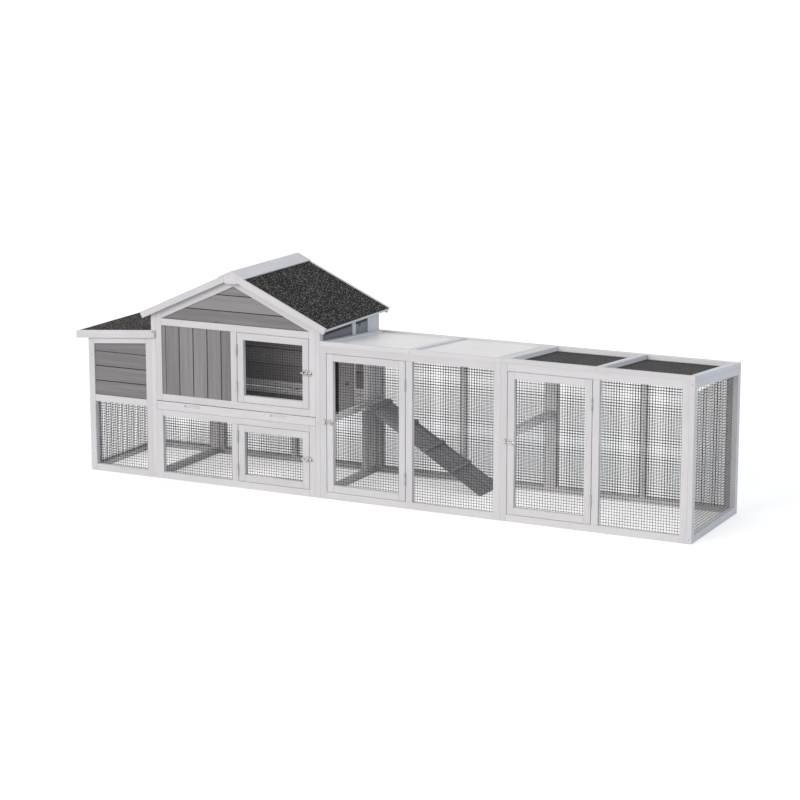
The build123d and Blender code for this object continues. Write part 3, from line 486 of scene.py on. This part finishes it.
def across_board(solid, axes):
    """For each corner, its place across the board's width: -1 and 1 at the long edges."""
    spans = []
    for axis in axes[1:]:
        places = [vertex.co.dot(axis) for vertex in solid.verts]
        spans.append((max(places) - min(places), min(places), axis))
    width, start, axis = max(spans, key=lambda span: span[0])
    return {vertex: 2 * (vertex.co.dot(axis) - start) / width - 1 for vertex in solid.verts}


def joined_boards(node):
    """All boards of a CAD node in one mesh, each with its grain's place, its sides and a tone."""
    chance = random.Random(node)
    boards = bmesh.new()
    grain = boards.verts.layers.float_vector.new("grain")
    side = boards.verts.layers.float.new("side")
    tone = boards.verts.layers.float.new("tone")
    for triangles in solids_of(node):
        solid = clean_solid(triangles)
        axes = grain_axes(solid)
        sides = across_board(solid, axes)
        shift = Vector([chance.uniform(0, grain_shift) for axis in axes])
        board_tone = chance.random()
        copies = {}
        for vertex in solid.verts:
            copy = boards.verts.new(vertex.co)
            copy[grain] = Vector(vertex.co.dot(axis) for axis in axes) + shift
            copy[side] = sides[vertex]
            copy[tone] = board_tone
            copies[vertex] = copy
        for face in solid.faces:
            boards.faces.new([copies[vertex] for vertex in face.verts])
        solid.free()
    mesh = bpy.data.meshes.new(node + "_boards")
    boards.to_mesh(mesh)
    boards.free()
    return mesh


def add_piece(name, mesh, node):
    """Show a mesh as the piece that stands for a CAD node, and let it ride on that node's body."""
    piece = bpy.data.objects.new(name, mesh)
    scene.collection.objects.link(piece)
    mesh.materials.clear()
    mesh.materials.append(finishes[slot_of[node]])
    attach(piece, frame["nodes"][node]["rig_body"])
    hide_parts(node)
    return piece


def dress_boards(node):
    """Boards with eased edges, in place of the CAD node's sharp ones."""
    piece = add_piece(node + "_boards", joined_boards(node), node)
    easing = piece.modifiers.new("eased_edges", "BEVEL")
    easing.width = eased_edges[slot_of[node]]
    easing.segments = eased_steps
    easing.limit_method = "ANGLE"
    easing.angle_limit = math.radians(eased_angle)


def repaint(node):
    """A CAD node that keeps its own shape gets its finish."""
    materials = frame["nodes"][node].data.materials
    materials.clear()
    materials.append(finishes[slot_of[node]])


def new_inputs(tree, inputs):
    """Named inputs of a geometry tree, as a dict of name to identifier."""
    identifiers = {}
    tree.interface.new_socket(name="Geometry", in_out="INPUT", socket_type="NodeSocketGeometry")
    for name, kind in inputs.items():
        made = tree.interface.new_socket(name=name, in_out="INPUT", socket_type=kind)
        identifiers[name] = made.identifier
    tree.interface.new_socket(name="Geometry", in_out="OUTPUT", socket_type="NodeSocketGeometry")
    return identifiers


def input_value(graph, group_input, name):
    return Value(graph, group_input.outputs[name])


def row_of_wires(graph, span, length, pitch, thickness, level, depth):
    """Parallel wires centred in a panel: upright ones, or level ones."""
    count = graph.node("ShaderNodeMath", {"operation": "FLOOR"}, {0: span / pitch})
    first = (span - (count - 1) * pitch) / 2
    wire = graph.node("GeometryNodeMeshCylinder", {"fill_type": "NGON"},
                      {"Vertices": wire_sides, "Radius": thickness / 2, "Depth": length})
    start = graph.node("ShaderNodeCombineXYZ", None, {"X": first, "Y": depth, "Z": length / 2})
    pace = graph.node("ShaderNodeCombineXYZ", None, {"X": pitch})
    places = graph.node("GeometryNodeMeshLine", {"mode": "OFFSET"},
                        {"Count": count, "Start Location": start, "Offset": pace})
    wires = graph.node("GeometryNodeInstanceOnPoints", None, {"Points": places, "Instance": wire})
    if level:
        turned = graph.node("GeometryNodeTransform", None,
                            {"Geometry": wires, "Rotation": (0, math.radians(-90), 0)})
        return graph.node("GeometryNodeTransform", None, {"Geometry": turned, "Scale": (-1, 1, 1)})
    return wires


def welded_mesh_tree():
    """A panel of welded mesh: upright wires in front of level ones."""
    tree = bpy.data.node_groups.new("welded_mesh", "GeometryNodeTree")
    identifiers = new_inputs(tree, {
        "Width": "NodeSocketFloat",
        "Height": "NodeSocketFloat",
        "Pitch": "NodeSocketFloat",
        "Thickness": "NodeSocketFloat",
        "Depth": "NodeSocketFloat",
        "Finish": "NodeSocketMaterial",
    })
    graph = Graph(tree)
    given = tree.nodes.new("NodeGroupInput")
    width, height, pitch, thickness, depth, finish = [
        input_value(graph, given, name)
        for name in ("Width", "Height", "Pitch", "Thickness", "Depth", "Finish")
    ]
    lift = (depth - thickness) / 2
    uprights = row_of_wires(graph, width, height, pitch, thickness, False, 0 - lift)
    levels = row_of_wires(graph, height, width, pitch, thickness, True, lift)
    join = tree.nodes.new("GeometryNodeJoinGeometry")
    graph.feed(join.inputs[0], uprights)
    graph.feed(join.inputs[0], levels)
    joined = Value(graph, join.outputs[0])
    whole = graph.node("GeometryNodeRealizeInstances", None, {"Geometry": joined})
    painted = graph.node("GeometryNodeSetMaterial", None, {"Geometry": whole, "Material": finish})
    result = tree.nodes.new("NodeGroupOutput")
    graph.feed(result.inputs["Geometry"], painted)
    return tree, identifiers


def grown_mesh(tree, identifiers, values, start=None):
    """The plain mesh that a geometry tree makes with these values."""
    base = start or bpy.data.meshes.new("start")
    carrier = bpy.data.objects.new("carrier", base)
    scene.collection.objects.link(carrier)
    grow = carrier.modifiers.new("grow", "NODES")
    grow.node_group = tree
    for name, value in values.items():
        grow[identifiers[name]] = value
    graph = bpy.context.evaluated_depsgraph_get()
    mesh = bpy.data.meshes.new_from_object(carrier.evaluated_get(graph), depsgraph=graph)
    carrier.modifiers.remove(grow)
    bpy.data.objects.remove(carrier)
    return mesh


def panel_frame(triangles):
    """Where a mesh panel lies: the matrix of its lower corner, its width and its height."""
    low, high = box_of(triangles)
    size = high - low
    middle = (low + high) / 2
    thin = min(range(3), key=lambda axis: size[axis])
    if thin == 2:
        points = [point for triangle in triangles for point in triangle]
        mean_y = sum(point.y for point in points) / len(points)
        mean_z = sum(point.z for point in points) / len(points)
        rise = sum((point.y - mean_y) * (point.z - mean_z) for point in points)
        rise /= sum((point.y - mean_y) ** 2 for point in points)
        across = Vector((1, 0, 0))
        up = Vector((0, 1, rise)).normalized()
        width, height = size.x, size.y / up.y
    else:
        across = Vector((0, 1, 0)) if thin == 0 else Vector((1, 0, 0))
        up = Vector((0, 0, 1))
        width, height = size[1 - thin], size.z
    inward = up.cross(across)
    corner = middle - across * width / 2 - up * height / 2
    matrix = Matrix((across, inward, up)).transposed().to_4x4()
    matrix.translation = corner
    return matrix, width, height


def dress_mesh(node, tree, identifiers):
    """Fine welded mesh in place of a CAD node's coarse grid."""
    whole = bmesh.new()
    for triangles in solids_of(node):
        matrix, width, height = panel_frame(triangles)
        wires = grown_mesh(tree, identifiers, {
            "Width": width,
            "Height": height,
            "Pitch": wire_pitch,
            "Thickness": wire_thickness,
            "Depth": mesh_depth,
            "Finish": finishes["wire_mesh"],
        })
        wires.transform(matrix)
        whole.from_mesh(wires)
    bmesh.ops.recalc_face_normals(whole, faces=whole.faces)
    mesh = bpy.data.meshes.new(node + "_wires")
    whole.to_mesh(mesh)
    whole.free()
    add_piece(node + "_wires", mesh, node)


def screw_loop(head, reaches, height, back):
    """One loop of a screw head's corners, turned back by a share of a side."""
    loop = []
    for turn, reach in enumerate(reaches):
        angle = 2 * math.pi * (turn - back) / screw_sides
        loop.append(head.verts.new((reach * screw_radius * math.cos(angle),
                                    reach * screw_radius * math.sin(angle),
                                    height * screw_height)))
    return loop


def screw_head():
    """A low domed head with a cross recess, standing on the ground and facing up."""
    head = bmesh.new()
    quarter = screw_sides // 4
    arms = [screw_arm if turn % quarter in (0, 1) else screw_waist for turn in range(screw_sides)]
    loops = [screw_loop(head, [reach] * screw_sides, height, 0) for reach, height in screw_dome]
    for reach, height in screw_recess:
        loops.append(screw_loop(head, [arm * reach for arm in arms], height, 0.5))
    for outer, inner in zip(loops, loops[1:]):
        for turn in range(screw_sides):
            following = (turn + 1) % screw_sides
            head.faces.new((outer[turn], outer[following], inner[following], inner[turn]))
    head.faces.new(loops[-1])
    head.faces.new(list(reversed(loops[0])))
    bmesh.ops.recalc_face_normals(head, faces=head.faces)
    mesh = bpy.data.meshes.new("screw_head")
    head.to_mesh(mesh)
    head.free()
    return bpy.data.objects.new("screw_head", mesh)


def screw_heads_tree():
    """Screw heads on points, each turned to the face that it is driven into."""
    tree = bpy.data.node_groups.new("screw_heads", "GeometryNodeTree")
    identifiers = new_inputs(tree, {"Head": "NodeSocketObject", "Finish": "NodeSocketMaterial"})
    graph = Graph(tree)
    given = tree.nodes.new("NodeGroupInput")
    points, shape, finish = [
        input_value(graph, given, name) for name in ("Geometry", "Head", "Finish")
    ]
    head = graph.node("GeometryNodeObjectInfo", None, {"Object": shape}, "Geometry")
    turn, size = [
        graph.node("GeometryNodeInputNamedAttribute", {"data_type": "FLOAT_VECTOR"}, {"Name": name})
        for name in ("turn", "size")
    ]
    facing = graph.node("FunctionNodeEulerToRotation", None, {0: turn})
    heads = graph.node("GeometryNodeInstanceOnPoints", None,
                       {"Points": points, "Instance": head, "Rotation": facing, "Scale": size})
    whole = graph.node("GeometryNodeRealizeInstances", None, {"Geometry": heads})
    painted = graph.node("GeometryNodeSetMaterial", None, {"Geometry": whole, "Material": finish})
    result = tree.nodes.new("NodeGroupOutput")
    graph.feed(result.inputs["Geometry"], painted)
    return tree, identifiers


def dress_screws(node):
    """Cross-head screws where the CAD has plain discs."""
    chance = random.Random(node)
    points = bmesh.new()
    turn = points.verts.layers.float_vector.new("turn")
    size = points.verts.layers.float_vector.new("size")
    middle = (cad_low + cad_high) / 2
    for triangles in solids_of(node):
        low, high = box_of(triangles)
        extent = high - low
        spot = (low + high) / 2
        spin = chance.uniform(0, math.pi)
        if extent.x < extent.y:
            spot.x = low.x
            facing = Matrix.Rotation(math.radians(90), 3, "Y")
        elif spot.y > middle.y:
            spot.y = low.y
            facing = Matrix.Rotation(math.radians(-90), 3, "X")
        else:
            spot.y = high.y
            facing = Matrix.Rotation(math.radians(90), 3, "X")
        point = points.verts.new(spot)
        point[turn] = Vector((facing @ Matrix.Rotation(spin, 3, "Z")).to_euler())
        scale = extent.z / 2 / screw_radius
        point[size] = Vector((scale, scale, 1))
    start = bpy.data.meshes.new("screw_places")
    points.to_mesh(start)
    points.free()
    tree, identifiers = screw_heads_tree()
    head = screw_head()
    mesh = grown_mesh(tree, identifiers, {"Head": head, "Finish": finishes["fittings"]}, start)
    bpy.data.objects.remove(head)
    add_piece(node + "_heads", mesh, node)


def dress_coop():
    """Every CAD node gets its finish, and the timber, mesh and screws their detail."""
    tree, identifiers = welded_mesh_tree()
    for node in sorted(frame["nodes"]):
        slot = slot_of[node]
        if node == "frame_screws":
            dress_screws(node)
        elif slot == "wire_mesh":
            dress_mesh(node, tree, identifiers)
        elif slot in eased_edges:
            dress_boards(node)
        else:
            repaint(node)


def add_camera():
    data = bpy.data.cameras.new("camera")
    data.lens = camera_lens
    data.sensor_width = camera_sensor
    data.clip_end = camera_reach
    camera = bpy.data.objects.new("camera", data)
    azimuth = math.radians(camera_azimuth)
    elevation = math.radians(camera_elevation)
    ahead = Vector((-math.sin(azimuth) * math.cos(elevation),
                    math.cos(azimuth) * math.cos(elevation), -math.sin(elevation)))
    camera.location = camera_place
    camera.rotation_euler = ahead.to_track_quat("-Z", "Y").to_euler()
    scene.collection.objects.link(camera)
    scene.camera = camera


def seen_rays(graph):
    """1 for rays that come straight from the camera or from gloss or glass, and 0 for the rest."""
    rays = graph.tree.nodes.new("ShaderNodeLightPath")
    names = ("Is Camera Ray", "Is Glossy Ray", "Is Transmission Ray")
    camera, gloss, glass = [Value(graph, rays.outputs[name]) for name in names]
    return graph.sum("MAXIMUM", camera, graph.sum("MAXIMUM", gloss, glass))


def add_light():
    """A pale sky, a soft key lamp, a faint cool lamp from the right and a weak glow inside."""
    world = bpy.data.worlds.new("studio")
    world.use_nodes = True
    scene.world = world
    graph = Graph(world.node_tree)
    background = world.node_tree.nodes["Background"]
    seen = seen_rays(graph)
    colour = graph.node("ShaderNodeMix", {"data_type": "RGBA"},
                        {0: seen, 6: sky_light, 7: (1, 1, 1, 1)}, 2)
    graph.feed(background.inputs["Color"], colour)
    graph.feed(background.inputs["Strength"], sky_strength + seen * (1 - sky_strength))
    for name, lamp in lamps.items():
        light = bpy.data.lights.new(name, "SUN")
        light.energy = lamp["strength"]
        light.color = lamp["colour"]
        light.angle = math.radians(lamp["softness"])
        source = bpy.data.objects.new(name, light)
        source.rotation_euler = Vector(lamp["from"]).to_track_quat("Z", "Y").to_euler()
        scene.collection.objects.link(source)
    for name, glow in glows.items():
        light = bpy.data.lights.new(name, "POINT")
        light.energy = glow["strength"]
        light.color = glow_colour
        light.shadow_soft_size = glow_radius
        source = bpy.data.objects.new(name, light)
        source.location = glow["place"]
        scene.collection.objects.link(source)


def add_floor():
    """A white studio floor that keeps the coop's shadow."""
    finish = Finish("studio_floor", {
        "Base Color": floor_colour,
        "Roughness": 0.9,
        "Specular IOR Level": 0.1,
        "Emission Strength": 1.0,
    })
    finish.show("Emission Color", finish.blend(seen_rays(finish), (0, 0, 0, 1), floor_glow))
    mesh = bpy.data.meshes.new("studio_floor")
    quarters = ((-1, -1), (1, -1), (1, 1), (-1, 1))
    corners = [(x * floor_half, y * floor_half, cad_low.z) for x, y in quarters]
    mesh.from_pydata(corners, [], [(0, 1, 2, 3)])
    mesh.materials.append(finish.material)
    floor = bpy.data.objects.new("studio_floor", mesh)
    scene.collection.objects.link(floor)


dress_coop()
add_camera()
add_light()
add_floor()
scene.view_settings.view_transform = "Standard"
